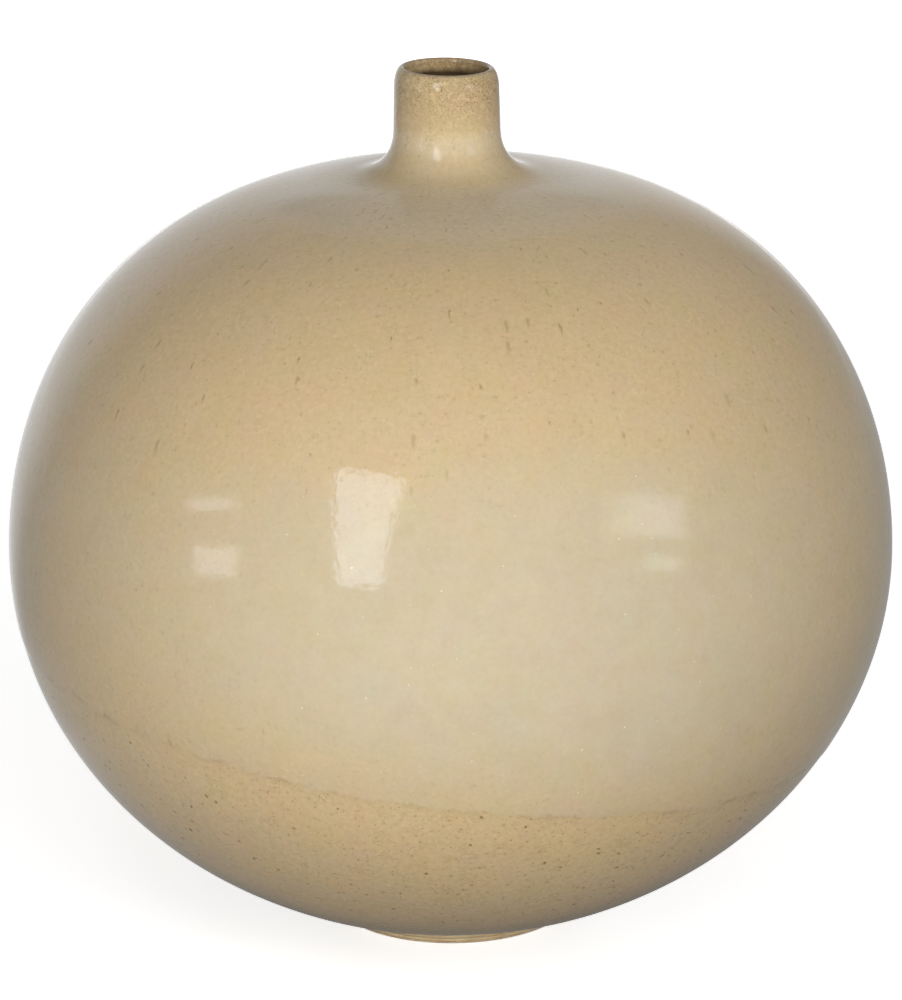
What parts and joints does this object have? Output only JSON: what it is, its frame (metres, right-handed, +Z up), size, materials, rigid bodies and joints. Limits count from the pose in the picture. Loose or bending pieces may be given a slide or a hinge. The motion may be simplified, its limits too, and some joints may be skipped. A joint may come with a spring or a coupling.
{
  "type": "vase",
  "caption": "Round globe vase in glazed stoneware: a full spherical body on a low turned foot ring, with a short narrow neck and a rounded lip, for cut stems or as an ornament.",
  "frame": {"origin": "centre of the plane that the foot ring stands on", "axes": "+Z up along the axis of the turned body, -Y towards the viewer of the picture"},
  "size_m": [0.38, 0.38, 0.3748],
  "materials": {
    "glaze": "satin-gloss putty-coloured stoneware glaze with fine iron specks",
    "bare_clay": "unglazed buff stoneware with fine turning lines",
    "joining_slip": "matt fired slip"
  },
  "bodies": {
    "root": {"foot_ring": "bare_clay", "foot_joint_slip": "joining_slip", "lower_bowl": "glaze", "belly_joint_slip": "joining_slip", "upper_dome": "glaze", "neck_joint_slip": "joining_slip", "neck": "glaze"}
  },
  "joints": []
}
